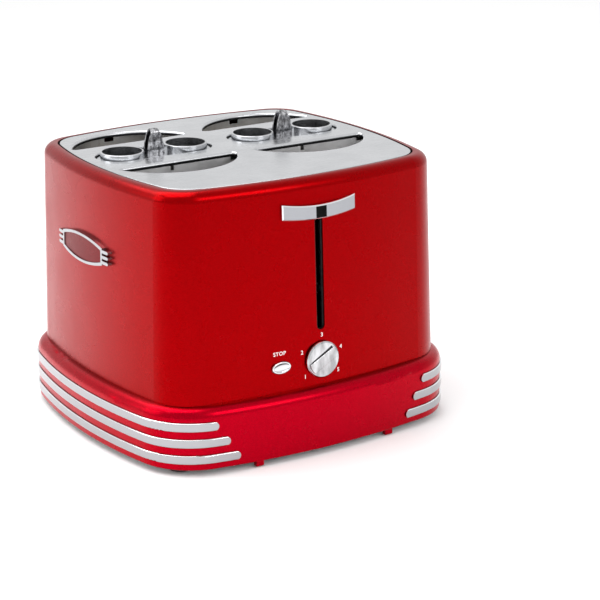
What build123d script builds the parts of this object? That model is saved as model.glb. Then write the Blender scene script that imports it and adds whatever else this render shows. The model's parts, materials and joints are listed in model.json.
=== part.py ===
from build123d import *
import os
from math import asin, atan, ceil, cos, degrees, dist, pi, radians, sin, sqrt

# A four-dog hot dog toaster, in millimetres.
# +Z is up, the lever and the dial are on the front at -Y, and the origin is on
# the table, midway from the front of the base to the grip of the crumb tray.
# Every piece is drawn round the middle of the base and moved there when saved.

# Outer body
foot_height = 5.0
side_bow = 8.0
shell_step = 9.1
base_corner_r = 49.8
base_height = 47.6
base_wall = 2.5
base_shoulder_r = 8.6
base_hem_round = 0.8
shell_corner_r = 36.1
shell_height = 160.2
shell_lean = 4.94
shell_wall = 1.2
shell_shoulder_r = 8.4
shell_ledge = 3.0
overrun = 20.0

# Top plate and its seal
rim_flat = 0.16
plate_corner_r = 26.7
plate_thickness = 1.2
plate_gap = 1.7
plate_edge_round = 0.5
slot_roll = 2.0
mouth_roll = 0.9
plate_seat = 0.1
seal_height = 3.8
seal_inward = 1.5
seal_outward = 0.5

# Two groups of openings side by side, each a basket between two bun slots
front_margin = 58.3
rear_margin = 15.5
slot_side_margin = 8.06
slot_middle_gap = 14.68
slot_overhang = 2.3
mouth_to_slot = 18.9
slot_depth = 36.0
slot_corner_r = 3.0
flange_depth = 2.2
flange_wall = 1.0
mouth_ledge = 2.2
ledge_thickness = 1.0

# Hot dog baskets
cap_recess = 2.0
cap_thickness = 1.0
cap_gap = 1.4
dog_hole_r = 15.5
collar_half_gap = 10.85
collar_end_gap = 2.75
collar_side_gap = 0.6
collar_wall = 1.5
collar_rise = 3.4
collar_round = 0.6
cage_gap = 0.5
cage_wall = 0.8
cage_end_folds = 4
cage_depth = 146.0
cage_window_width = 4.0
cage_bar = 7.0
cage_rim = 10.5
cage_window_pitch_x = 8.0
cage_window_columns = 3
cage_window_rows = 4
cage_window_shift = 12.35
cage_floor_hole_r = 8.0
handle_height = 20.0
handle_half_span = 3.8
handle_thickness = 1.2
handle_foot_width = 14.4
handle_crown_width = 5.4
handle_belly_width = 12.2
handle_crown_round = 2.2

# Heat box
box_side_gap = 1.56
box_end_gap = 3.6
box_corner_r = 44.0
box_wall = 1.0
box_bottom = 24.0
partition_x = 5.0
partition_wall = 0.8
partition_drop = 5.6
spine_slot_half = 3.5
rear_window_width = 8.4
rear_window_height = 3.8
rear_window_drop = 5.4

# Heaters and the guards that keep the buns off them
heater_inset = 9.0
heater_thickness = 1.0
heater_rise = 10.0
heater_drop = 15.6
ribbon_count = 11
ribbon_thickness = 0.3
ribbon_height = 1.6
ribbon_margin = 8.0
ribbon_slit = 0.4
guard_inset = 0.45
guard_bar_height = 6.0
guard_bar_thickness = 0.6
guard_drop = 2.4
guard_lip_height = 2.5
guard_end_inset = 0.4
guard_rise = 12.0
guard_wire_r = 0.9
guard_weld = 0.2
guard_wire_pitch = 16.0
guard_wire_count = 6
guard_notch_width = 3.0
guard_notch_shift = 5.5
guard_lip_half = 46.0
guard_notch_depth = 3.5

# Lift mechanism, whose travel leans with the front wall
slot_foot = 4.6
rack_thickness = 1.6
bun_room = 83.2
rack_margin = 4.0
rack_corner_r = 2.0
rack_hole_r = 4.0
rack_hole_pitch = 15.0
rack_hole_count = 4
rack_hole_rows = 2
rack_hole_inset = 7.0
rack_hole_spread = 10.0
neck_half_width = 5.0
neck_setback = 24.64
neck_clearance = 1.5
spine_thickness = 2.0
spine_height = 12.0
spine_tail = 8.7
bracket_offset = 5.0
bracket_thickness = 2.0
bracket_half_width = 24.0
bracket_drop = 15.6
ear_half_width = 34.0
ear_thickness = 2.0
lug_thickness = 6.0
lug_reach = 10.0
lug_width = 10.0
rod_x = 16.0
rod_inset = 33.0
rod_r = 2.5
rod_clearance = 0.06
spring_x = 30.0
spring_coil_r = 3.2
spring_wire_r = 0.45
spring_turns = 18
spring_tail = 5.0
spring_samples = 24
frame_half_width = 38.0
frame_wall = 1.2
frame_nose = 7.0
frame_foot_inset = 12.0
frame_top_clearance = 6.0
frame_window_half = 4.5
frame_window_clearance = 4.0
arm_half_width = 1.5
arm_height = 7.0
lever_drop = 25.3
lever_half_length = 32.0
lever_height = 10.5
lever_sag = 2.4
lever_top_sag = 3.35
lever_thickness = 4.0
lever_end_thickness = 2.2
lever_gap = 0.6
lever_bevel = 0.8
window_width = 9.2
window_rail = 0.9
head_clearance = 0.1
head_recess = 0.6
slot_width = 7.0
slot_over_dial = 23.1
slot_over_lever = 4.6
shield_half_width = 9.0
shield_thickness = 1.5
shield_gap = 0.15
shield_slot_half = 2.3
shield_overlap = 8.0

# Controls on the front
grip_stand_out = 4.4
dial_rise = 20.2
dial_rest_angle = 28.0
knob_r = 14.2
knob_depth = 2.4
knob_bevel = 1.0
knob_gap = 0.8
knob_bore = 2.9
knob_grip_reach = 12.6
grip_rise = 1.6
grip_half_width = 4.2
grip_round = 0.7
pointer_foot = 10.0
pointer_tip = 11.2
pointer_foot_width = 0.5
pointer_tip_width = 1.5
pointer_depth = 1.0
shaft_fit = 0.02
dial_shaft_r = 3.0
dial_hole_r = 4.2
dial_running = 0.06
control_size = 16.0
control_depth = 7.0
control_skin = 1.0
button_x = -35.4
button_drop = 0.5
button_half_width = 8.1
button_half_height = 4.7
button_stand_out = 1.6
button_edge_round = 0.5
button_dish_rim = 1.1
button_dish_depth = 0.9
button_clearance = 0.25
button_flange = 2.0
button_flange_thickness = 1.2
button_flange_gap = 0.3
button_stem_r = 1.8
button_travel = 2.2
switch_size = 6.0
switch_depth = 2.6
switch_body_depth = 2.0
switch_gap = 0.1
board_setback = 1.5
board_thickness = 1.6
board_left = -50.0
board_right = 26.0
board_over_dial = 19.2
magnet_half_width = 8.0
magnet_rise = 16.0
magnet_height = 22.7
magnet_depth = 12.0
magnet_standoff = 3.0
magnet_leg = 4.0
magnet_yoke = 4.0
magnet_gap = 0.15
coil_clearance = 0.1
coil_wall = 2.0
coil_height = 13.0
coil_lift = 1.0
armature_half_width = 7.5
armature_thickness = 2.0
armature_reach = 18.0

# Bottom, crumb tray, cord hole and feet
bottom_rebate = 1.0
bottom_plate_thickness = 1.5
bottom_plate_z = 6.5
post_r = 4.0
post_spread = 25.0
vent_length = 60.0
vent_width = 5.0
vent_pitch = 14.0
vent_count = 3
vent_inset = 43.1
foot_r = 9.0
foot_inset_x = 33.3
foot_inset_y = 36.1
foot_round = 1.2
stub_x = 58.5
stub_width = 6.5
stub_depth = 4.0
stub_height = 4.0
stub_inset = 0.6
tray_side = 9.36
tray_setback = 4.1
tray_lift = 0.1
tray_height = 7.0
tray_wall = 0.8
tray_clearance = 0.6
tray_lip_gap = 0.3
tray_lip_height = 11.0
tray_lip_overlap = 2.5
tray_lip_thickness = 1.6
tray_grip_half_width = 24.0
tray_grip_thickness = 2.0
runner_height = 4.0
runner_wall = 1.2
runner_end_gap = 37.1
gland_hole_r = 6.5
gland_flange_r = 8.5
gland_flange = 1.6
gland_bore_r = 3.6
gland_inside = 6.0
gland_round = 0.5
gland_fit = 0.2
terminal_y = 40.0
terminal_size_x = 12.0
terminal_size_y = 34.0
terminal_height = 11.0
terminal_wire_r = 1.8
terminal_pitch = 10.0
terminal_wires = 3
screw_inset = 18.3
screw_setback = 60.1
screw_r = 1.5
screw_head_r = 3.4
screw_head = 1.3
screw_length = 6.5
screw_hole_r = 1.6
screw_clear_r = 2.0
lug_block_x = 7.0
lug_block_y = 8.0
lug_block_height = 6.0
lug_block_reach = 9.8

# Trim
strip_half_height = 3.4
strip_foot = 8.45
strip_drop = 13.7
strip_end_insets = [67.2, 59.5, 50.7]
strip_names = ["bottom", "middle", "top"]
strip_proud = 1.3
strip_seat = 0.9
strip_bed = 0.1
strip_round = 0.9
strip_groove = 0.4
badge_y = 4.0
badge_drop = 61.8
badge_half_length = 33.0
badge_half_height = 11.2
badge_end_half_height = 6.6
badge_prong_reach = 41.4
badge_prong_root = 31.0
badge_prong_width = 2.4
badge_prong_pitch = 4.2
badge_prong_count = 3
badge_rim_width = 2.0
badge_rim_proud = 3.4
badge_panel_proud = 2.6
badge_seat = 0.05
badge_fit = 0.1

# Plan, worked out from the hot dogs and buns outwards
dog_spread = dog_hole_r + collar_wall + collar_half_gap
mouth_half_length = dog_spread + dog_hole_r + collar_wall + collar_end_gap + cap_gap
mouth_half_width = dog_hole_r + collar_wall + collar_side_gap + cap_gap
slot_length = 2 * (mouth_half_length + slot_overhang)
chord_spread = mouth_half_width + mouth_to_slot
group_x = (slot_middle_gap + slot_length) / 2
group_y = (front_margin - rear_margin) / 2
front_chord_y = group_y - chord_spread
rear_chord_y = group_y + chord_spread
slot_arc_r = ((slot_length / 2) ** 2 + slot_depth ** 2) / (2 * slot_depth)
slot_arc_offset = slot_arc_r - slot_depth
plate_half_width = group_x + slot_length / 2 + slot_side_margin
plate_half_depth = chord_spread + slot_depth + (front_margin + rear_margin) / 2
plate_border = shell_shoulder_r + plate_gap + rim_flat
shell_half_width = plate_half_width + plate_border + shell_lean
shell_half_depth = plate_half_depth + plate_border + shell_lean
base_half_width = shell_half_width + shell_step
base_half_depth = shell_half_depth + shell_step
overall_reach = base_half_depth + grip_stand_out
origin_shift = grip_stand_out / 2
box_half_width = group_x + slot_length / 2 + box_side_gap
box_half_depth = chord_spread + slot_depth + box_end_gap
box_front_y = group_y - box_half_depth
box_rear_y = group_y + box_half_depth
bun_places = [
    (x, y, facing) for x in (-group_x, group_x) for y, facing in ((front_chord_y, -1), (rear_chord_y, 1))
]
rack_ys = [front_chord_y - slot_depth / 2, rear_chord_y + slot_depth / 2]
heater_ys = [front_chord_y + heater_inset, rear_chord_y - heater_inset]
guard_ys = [front_chord_y - guard_inset, rear_chord_y + guard_inset]
neck_reach = group_x - neck_setback
spine_rear = rack_ys[1] + spine_tail
rod_y = rod_inset - shell_half_depth
bracket_front = rod_y + bracket_offset
frame_top_front = rod_y - frame_nose
frame_foot_front = frame_foot_inset - shell_half_depth
board_front = frame_foot_front + board_setback
board_back = board_front + board_thickness
magnet_y = board_back + magnet_standoff + magnet_depth / 2
vent_y = vent_inset - base_half_depth
foot_x = base_half_width - foot_inset_x
foot_y = base_half_depth - foot_inset_y
screw_x = base_half_width - screw_inset
screw_y = base_half_depth - screw_setback
terminal_x = -screw_x
tray_half_width = group_x + tray_side
tray_front = box_front_y + tray_setback
runner_length = base_half_depth - runner_end_gap - tray_front
strip_ends = [base_half_width - inset for inset in strip_end_insets]
strip_inner = strip_seat - strip_bed
rebate_wall = base_wall - bottom_rebate

# Levels, worked out from the table upwards
base_bottom = foot_height
base_top = base_bottom + base_height
plate_top = base_top + shell_height
plate_bottom = plate_top - plate_thickness
shell_draft = degrees(atan(shell_lean / shell_height))
bottom_plate_top = bottom_plate_z + bottom_plate_thickness
stub_bottom = foot_height - stub_height
strip_pitch = (base_height - strip_drop - strip_foot) / (len(strip_names) - 1)
strip_levels = [base_bottom + strip_foot + row * strip_pitch for row in range(len(strip_names))]
tray_slot_height = tray_height + tray_clearance
tray_lip_z = bottom_plate_z
gland_z = (tray_lip_z + tray_lip_height + base_top - base_shoulder_r) / 2
cap_top = plate_top - cap_recess
cap_bottom = cap_top - cap_thickness
collar_top = plate_top + collar_rise
ledge_bottom = cap_bottom - ledge_thickness
cage_bottom = cap_bottom - cage_depth
cage_window_pitch_z = (cage_depth - 2 * cage_rim + cage_bar) / cage_window_rows
cage_window_height = cage_window_pitch_z - cage_bar
cage_window_x = dog_spread - cage_window_shift
partition_top = plate_bottom - partition_drop
heater_bottom = box_bottom + heater_rise
heater_top = plate_bottom - heater_drop
guard_bottom = box_bottom + guard_rise
guard_lip_top = plate_bottom - guard_drop
guard_top = guard_lip_top - guard_lip_height
dial_z = base_top + dial_rise
button_z = dial_z - button_drop
board_top = dial_z + board_over_dial
badge_z = plate_top - badge_drop
slot_bottom = dial_z + slot_over_dial
lever_z = plate_top - lever_drop
slot_top = lever_z + slot_over_lever
lift_travel = lever_z - slot_bottom - slot_foot
travel_lean = lift_travel * sin(radians(shell_draft))
travel_drop = lift_travel * cos(radians(shell_draft))
rack_rest_top = plate_top - bun_room
rack_bottom = rack_rest_top - rack_thickness
spine_bottom = rack_bottom - spine_height
slot_over_rack = rack_rest_top + frame_window_clearance
window_low = spine_bottom - travel_drop - frame_window_clearance / 2
neck_slot_width = 2 * (neck_half_width + neck_clearance) + travel_lean
bracket_top = plate_bottom - bracket_drop
rod_top = bracket_top + frame_top_clearance
frame_top = rod_top + frame_wall
ear_top = spine_bottom + ear_thickness
spring_coil_height = rod_top - ear_top - 2 * spring_tail
spring_pitch = spring_coil_height / spring_turns
magnet_bottom = box_bottom + magnet_rise
armature_z = magnet_bottom + magnet_height + magnet_gap + travel_drop

os.makedirs("parts", exist_ok=True)


def save(solid, name):
    """Move one finished piece to the origin's frame, label it and write its file."""
    placed = Pos(0, -origin_shift, 0) * solid
    placed.label = name
    export_step(placed, f"parts/{name}.step")


def bowed_face(half_width, half_depth, corner_r):
    """A rounded rectangle whose four sides bow outwards by side_bow."""
    corner_x = half_width - side_bow - corner_r
    corner_y = half_depth - side_bow - corner_r
    side_r = (corner_y ** 2 + side_bow ** 2) / (2 * side_bow)
    front_r = (corner_x ** 2 + side_bow ** 2) / (2 * side_bow)
    side_turn = asin(corner_y / side_r)
    front_turn = radians(90) - asin(corner_x / front_r)
    middle_turn = (side_turn + front_turn) / 2
    turns = [side_turn, middle_turn, front_turn]
    near, middle, far = [
        (corner_x + corner_r * cos(turn), corner_y + corner_r * sin(turn)) for turn in turns
    ]
    with BuildSketch(Plane.XY, mode=Mode.PRIVATE) as outline:
        with BuildLine():
            for flip_x, flip_y in ((1, 1), (-1, 1), (-1, -1), (1, -1)):
                ThreePointArc(*[(flip_x * x, flip_y * y) for x, y in (near, middle, far)])
            for flip in (1, -1):
                ThreePointArc((flip * near[0], -near[1]), (flip * half_width, 0), (flip * near[0], near[1]))
                ThreePointArc((-far[0], flip * far[1]), (0, flip * half_depth), (far[0], flip * far[1]))
        make_face()
    return outline.sketch


def inset_face(sizes, inset):
    """A bowed rectangle moved inwards all round, given its half width, half depth and corner radius."""
    return bowed_face(*[size - inset for size in sizes])


def bun_face(facing, margin, corner_r):
    """The D of a bun slot, drawn from the middle of its straight edge, arc towards facing."""
    radius = slot_arc_r - margin
    offset_y = slot_arc_offset + margin
    half = sqrt(radius ** 2 - offset_y ** 2)
    with BuildSketch(Plane.XY, mode=Mode.PRIVATE) as outline:
        with BuildLine():
            Line((-half, facing * margin), (half, facing * margin))
            crown = (0, facing * (slot_depth - margin))
            ThreePointArc((half, facing * margin), crown, (-half, facing * margin))
        make_face()
        fillet(outline.vertices(), corner_r)
    return outline.sketch


def shell_front_y(x, z):
    """Where the outside of the shell's front wall stands at one place."""
    lean = shell_lean * (z - base_top) / shell_height
    corner_x = shell_half_width - side_bow - shell_corner_r
    return side_bow * (x / corner_x) ** 2 + lean - shell_half_depth


def leaning_plane(x, y, z):
    """A plane whose normal follows the lift's leaning travel, upwards."""
    lean = radians(shell_draft)
    return Plane(origin=(x, y, z), x_dir=(1, 0, 0), z_dir=(0, sin(lean), cos(lean)))


def base_front_y(x):
    """Where the outside of the skirt's front wall stands at one place."""
    corner_x = base_half_width - side_bow - base_corner_r
    return side_bow * (x / corner_x) ** 2 - base_half_depth


base_sizes = (base_half_width, base_half_depth, base_corner_r)
shell_sizes = (shell_half_width, shell_half_depth, shell_corner_r)
plate_sizes = (plate_half_width, plate_half_depth, plate_corner_r)

# The shell is hollowed by a smaller copy of its own form
with BuildPart() as shell_core:
    with BuildSketch(Plane.XY.offset(base_top)):
        add(inset_face(shell_sizes, shell_wall))
    extrude(amount=shell_height - shell_wall, taper=shell_draft)
    fillet(shell_core.faces().sort_by(Axis.Z)[-1].edges(), shell_shoulder_r - shell_wall)

with BuildPart() as shell_form:
    with BuildSketch(Plane.XY.offset(base_top)):
        add(inset_face(shell_sizes, 0))
    extrude(amount=shell_height, taper=shell_draft)
    fillet(shell_form.faces().sort_by(Axis.Z)[-1].edges(), shell_shoulder_r)

with BuildPart() as body_shell:
    add(shell_form.part)
    add(shell_core.part, mode=Mode.SUBTRACT)
    with BuildSketch(Plane.XY.offset(plate_top)):
        add(inset_face(plate_sizes, -plate_gap))
    extrude(amount=-2 * shell_wall, mode=Mode.SUBTRACT)
    # Lever slot, dial hole and button hole in the front wall
    with BuildSketch(Plane.XZ.offset(shell_half_depth)):
        with Locations((0, (slot_top + slot_bottom) / 2)):
            SlotOverall(slot_top - slot_bottom, slot_width, rotation=90)
        with Locations((0, dial_z)):
            Circle(dial_hole_r)
        with Locations((button_x, button_z)):
            Ellipse(button_half_width + button_clearance, button_half_height + button_clearance)
    extrude(amount=-overrun, mode=Mode.SUBTRACT)
save(body_shell.part, "body_shell")

# Skirt around the bottom, with a rounded shoulder that the shell stands on
with BuildPart() as base_core:
    with BuildSketch(Plane.XY.offset(bottom_plate_top)):
        add(inset_face(base_sizes, base_wall))
    extrude(amount=base_top - base_wall - bottom_plate_top)
    fillet(base_core.faces().sort_by(Axis.Z)[-1].edges(), base_shoulder_r - base_wall)


def strip_outlines(extra, levels, ends, sides):
    """The round-ended elevations of some strips, x across and z up, each reaching out past one side."""
    reach = base_half_width + overrun
    with BuildSketch(Plane.XY, mode=Mode.PRIVATE) as outline:
        for level, end in zip(levels, ends):
            for side in sides:
                with Locations((side * (end - extra + reach) / 2, level)):
                    SlotOverall(reach - end + extra, 2 * (strip_half_height + extra))
    return outline.sketch


groove_outlines = strip_outlines(strip_groove, strip_levels, strip_ends, (-1, 1))
with BuildPart() as strip_grooves:
    with BuildSketch(Plane.XZ):
        add(groove_outlines)
    extrude(amount=base_half_depth + overrun, both=True)
    with BuildSketch(Plane.XY):
        add(inset_face(base_sizes, strip_seat))
    extrude(amount=base_top, mode=Mode.SUBTRACT)

with BuildPart() as base_skirt:
    with BuildSketch(Plane.XY.offset(base_bottom)):
        add(inset_face(base_sizes, 0))
    extrude(amount=base_height)
    fillet(base_skirt.faces().sort_by(Axis.Z)[-1].edges(), base_shoulder_r)
    fillet(base_skirt.faces().sort_by(Axis.Z)[0].edges(), base_hem_round)
    add(base_core.part, mode=Mode.SUBTRACT)
    with BuildSketch(Plane.XY.offset(base_bottom)):
        add(inset_face(base_sizes, rebate_wall))
    extrude(amount=bottom_plate_top - base_bottom, mode=Mode.SUBTRACT)
    with BuildSketch(Plane.XY.offset(base_top)):
        add(inset_face(shell_sizes, shell_wall + shell_ledge))
    extrude(amount=-2 * base_wall, mode=Mode.SUBTRACT)
    # Lugs that take the base screws
    lug_block_width = lug_block_x + lug_block_reach
    lug_centre_x = screw_x - lug_block_x + lug_block_width / 2
    with BuildSketch(Plane.XY.offset(bottom_plate_top)):
        with GridLocations(2 * lug_centre_x, 2 * screw_y, 2, 2):
            Rectangle(lug_block_width, 2 * lug_block_y)
        with GridLocations(2 * screw_x, 2 * screw_y, 2, 2):
            Circle(screw_hole_r, mode=Mode.SUBTRACT)
    extrude(amount=lug_block_height)
    # Two small stubs under the front edge
    stub_front = base_front_y(stub_x) + stub_inset
    with BuildSketch(Plane.XY.offset(bottom_plate_z - plate_seat)):
        with Locations((0, stub_front + stub_depth / 2)):
            with GridLocations(2 * stub_x, 0, 2, 1):
                Rectangle(stub_width, stub_depth)
    extrude(amount=stub_bottom + plate_seat - bottom_plate_z)
    # Slot for the crumb tray and hole for the cord gland, both in the back
    with BuildSketch(Plane.XZ.offset(overrun - base_half_depth)):
        with Locations((0, bottom_plate_top + tray_slot_height / 2)):
            Rectangle(2 * (tray_half_width + tray_clearance), tray_slot_height)
        with Locations((0, gland_z)):
            Circle(gland_hole_r)
    extrude(amount=-2 * overrun, mode=Mode.SUBTRACT)
    add(strip_grooves.part, mode=Mode.SUBTRACT)
save(base_skirt.part, "base_skirt")

for level, end, level_name in zip(strip_levels, strip_ends, strip_names):
    for side, side_name in ((-1, "left"), (1, "right")):
        end_outline = strip_outlines(0, [level], [end], [side])
        with BuildPart() as strip:
            with BuildSketch(Plane.XY.offset(level - strip_half_height)):
                add(inset_face(base_sizes, -strip_proud))
            extrude(amount=2 * strip_half_height)
            fillet(strip.edges().filter_by(GeomType.CIRCLE), strip_round)
            with BuildSketch(Plane.XY.offset(level - strip_half_height)):
                add(inset_face(base_sizes, strip_inner))
            extrude(amount=2 * strip_half_height, mode=Mode.SUBTRACT)
            with BuildSketch(Plane.XZ):
                add(end_outline)
            extrude(amount=base_half_depth + overrun, both=True, mode=Mode.INTERSECT)
        save(strip.part, f"chrome_strip_{side_name}_{level_name}")

# Bottom plate with posts for the heat box, side guides for the tray and vents
with BuildPart() as bottom_plate:
    with BuildSketch(Plane.XY.offset(bottom_plate_z)):
        add(inset_face(base_sizes, rebate_wall + plate_seat))
        with GridLocations(2 * screw_x, 2 * screw_y, 2, 2):
            Circle(screw_clear_r, mode=Mode.SUBTRACT)
        with Locations((0, vent_y)):
            with GridLocations(0, vent_pitch, 1, vent_count):
                SlotOverall(vent_length, vent_width, mode=Mode.SUBTRACT)
    extrude(amount=bottom_plate_thickness)
    with BuildSketch(Plane.XY.offset(bottom_plate_top)):
        with Locations((0, group_y)):
            with GridLocations(2 * box_half_width - box_wall, 2 * post_spread, 2, 2):
                Circle(post_r)
    extrude(amount=box_bottom - bottom_plate_top)
    with BuildSketch(Plane.XY.offset(bottom_plate_top)):
        with Locations((0, tray_front + runner_length / 2)):
            with GridLocations(2 * (tray_half_width + tray_clearance) + runner_wall, 0, 2, 1):
                Rectangle(runner_wall, runner_length)
    extrude(amount=runner_height)
save(bottom_plate.part, "bottom_plate")

with BuildPart() as rubber_feet:
    with BuildSketch(Plane.XY):
        with GridLocations(2 * foot_x, 2 * foot_y, 2, 2):
            Circle(foot_r)
    extrude(amount=bottom_plate_z)
    fillet(rubber_feet.faces().filter_by(Plane.XY).group_by(Axis.Z)[0].edges(), foot_round)
save(rubber_feet.part, "rubber_feet")

with BuildPart() as base_screws:
    with BuildSketch(Plane.XY.offset(bottom_plate_z)):
        with GridLocations(2 * screw_x, 2 * screw_y, 2, 2):
            Circle(screw_head_r)
    extrude(amount=-screw_head)
    with BuildSketch(Plane.XY.offset(bottom_plate_z)):
        with GridLocations(2 * screw_x, 2 * screw_y, 2, 2):
            Circle(screw_r)
    extrude(amount=screw_length)
save(base_screws.part, "base_screws")

# Top plate: bun slots with turned-down flanges, and mouths with a ledge for the caps
with BuildPart() as top_plate:
    with BuildSketch(Plane.XY.offset(plate_bottom)):
        add(inset_face(plate_sizes, 0))
    extrude(amount=plate_thickness)
    fillet(top_plate.faces().sort_by(Axis.Z)[-1].edges(), plate_edge_round)
    with BuildSketch(Plane.XY.offset(plate_bottom)):
        for x, y, facing in bun_places:
            with Locations((x, y)):
                add(bun_face(facing, -flange_wall, slot_corner_r + flange_wall))
    extrude(amount=-flange_depth)
    with BuildSketch(Plane.XY.offset(plate_bottom)):
        with Locations((0, group_y)):
            with GridLocations(2 * group_x, 0, 2, 1):
                SlotOverall(2 * (mouth_half_length + flange_wall), 2 * (mouth_half_width + flange_wall))
    extrude(amount=ledge_bottom - plate_bottom)
    with BuildSketch(Plane.XY.offset(plate_top)):
        for x, y, facing in bun_places:
            with Locations((x, y)):
                add(bun_face(facing, 0, slot_corner_r))
    extrude(amount=-plate_thickness - flange_depth, mode=Mode.SUBTRACT)
    slot_wires = top_plate.faces().sort_by(Axis.Z)[-1].inner_wires()
    fillet([edge for wire in slot_wires for edge in wire.edges()], slot_roll)
    with BuildSketch(Plane.XY.offset(plate_top)):
        with Locations((0, group_y)):
            with GridLocations(2 * group_x, 0, 2, 1):
                SlotOverall(2 * mouth_half_length, 2 * mouth_half_width)
    extrude(amount=cap_bottom - plate_top, mode=Mode.SUBTRACT)
    mouth_wires = top_plate.faces().sort_by(Axis.Z)[-1].inner_wires().sort_by(Axis.Y)
    fillet([edge for wire in mouth_wires[2:4] for edge in wire.edges()], mouth_roll)
    with BuildSketch(Plane.XY.offset(plate_top)):
        with Locations((0, group_y)):
            with GridLocations(2 * group_x, 0, 2, 1):
                SlotOverall(2 * (mouth_half_length - mouth_ledge), 2 * (mouth_half_width - mouth_ledge))
    extrude(amount=ledge_bottom - plate_top, mode=Mode.SUBTRACT)
save(top_plate.part, "top_plate")

with BuildPart() as top_seal:
    with BuildSketch(Plane.XY.offset(plate_bottom)):
        add(inset_face(plate_sizes, -plate_gap - seal_outward))
        add(inset_face(plate_sizes, seal_inward), mode=Mode.SUBTRACT)
    extrude(amount=-seal_height)
save(top_seal.part, "top_seal")

# Badge on the left side, its rim and panel following the bowed and leaning wall


def leaning_form(outward):
    """The shell's outer form without its shoulder, moved outwards by one distance."""
    with BuildPart(mode=Mode.PRIVATE) as form:
        with BuildSketch(Plane.XY.offset(base_top)):
            add(inset_face(shell_sizes, -outward))
        extrude(amount=shell_height, taper=shell_draft)
    return form.part


badge_seat_form = leaning_form(badge_seat)
badge_rim_form = leaning_form(badge_rim_proud)
badge_panel_form = leaning_form(badge_panel_proud)


def badge_outline(inset):
    """A long plaque, taller in the middle; at full size it has round-ended prongs at each end."""
    length = badge_half_length - inset
    height = badge_half_height - inset
    end_height = badge_end_half_height - inset
    with BuildSketch(Plane.XY, mode=Mode.PRIVATE) as outline:
        with BuildLine():
            ThreePointArc((-length, end_height), (0, height), (length, end_height))
            Line((length, end_height), (length, -end_height))
            ThreePointArc((length, -end_height), (0, -height), (-length, -end_height))
            Line((-length, -end_height), (-length, end_height))
        make_face()
        if inset == 0:
            with GridLocations(badge_prong_reach + badge_prong_root, 0, 2, 1):
                with GridLocations(0, badge_prong_pitch, 1, badge_prong_count):
                    SlotOverall(badge_prong_reach - badge_prong_root, badge_prong_width)
    return outline.sketch


badge_plane = Plane(origin=(0, badge_y, badge_z), x_dir=(0, 1, 0), z_dir=(1, 0, 0))
for piece_name, outer_form, outer_inset, inner_inset in (
    ("badge_rim", badge_rim_form, 0, badge_rim_width),
    ("badge_panel", badge_panel_form, badge_rim_width + badge_fit, 0),
):
    with BuildPart() as badge_piece:
        with BuildSketch(badge_plane):
            add(badge_outline(outer_inset))
        extrude(amount=-shell_half_width - overrun)
        add(outer_form, mode=Mode.INTERSECT)
        add(badge_seat_form, mode=Mode.SUBTRACT)
        if inner_inset > 0:
            with BuildSketch(badge_plane):
                add(badge_outline(inner_inset))
            extrude(amount=-shell_half_width - overrun, mode=Mode.SUBTRACT)
    save(badge_piece.part, piece_name)

# Heat box: two U-shaped reflectors that meet beside the baskets
for side_name, facing in (("front", -1), ("rear", 1)):
    with BuildPart() as reflector:
        with BuildSketch(Plane.XY.offset(box_bottom)):
            with Locations((0, group_y)):
                RectangleRounded(2 * box_half_width, 2 * box_half_depth, box_corner_r)
                inner_r = box_corner_r - box_wall
                RectangleRounded(2 * (box_half_width - box_wall), 2 * (box_half_depth - box_wall), inner_r,
                                 mode=Mode.SUBTRACT)
            with Locations((0, group_y - facing * box_half_depth)):
                Rectangle(2 * box_half_width, 2 * box_half_depth, mode=Mode.SUBTRACT)
        extrude(amount=plate_bottom - box_bottom)
        if facing < 0:
            # Slot that the lift spine runs in
            with BuildSketch(Plane.XZ.offset(-box_front_y)):
                with Locations((0, (box_bottom + slot_over_rack) / 2)):
                    Rectangle(2 * spine_slot_half, slot_over_rack - box_bottom)
            extrude(amount=overrun, both=True, mode=Mode.SUBTRACT)
        else:
            with BuildSketch(Plane.XZ.offset(-box_rear_y)):
                with Locations((0, plate_top - rear_window_drop)):
                    with GridLocations(2 * group_x, 0, 2, 1):
                        Rectangle(rear_window_width, rear_window_height)
            extrude(amount=overrun, both=True, mode=Mode.SUBTRACT)
    save(reflector.part, f"{side_name}_reflector")

# Partitions either side of the lift spine, notched where the racks pass
for side_name, side in (("left", -1), ("right", 1)):
    with BuildPart() as partition:
        with BuildSketch(Plane.YZ.offset(side * partition_x)):
            with Locations((group_y, (box_bottom + partition_top) / 2)):
                Rectangle(2 * (box_half_depth - box_wall), partition_top - box_bottom)
            for rack_y in rack_ys:
                with Locations((rack_y - travel_lean / 2, (box_bottom + slot_over_rack) / 2)):
                    Rectangle(neck_slot_width, slot_over_rack - box_bottom, mode=Mode.SUBTRACT)
        extrude(amount=side * partition_wall)
    save(partition.part, f"{side_name}_partition")

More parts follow.
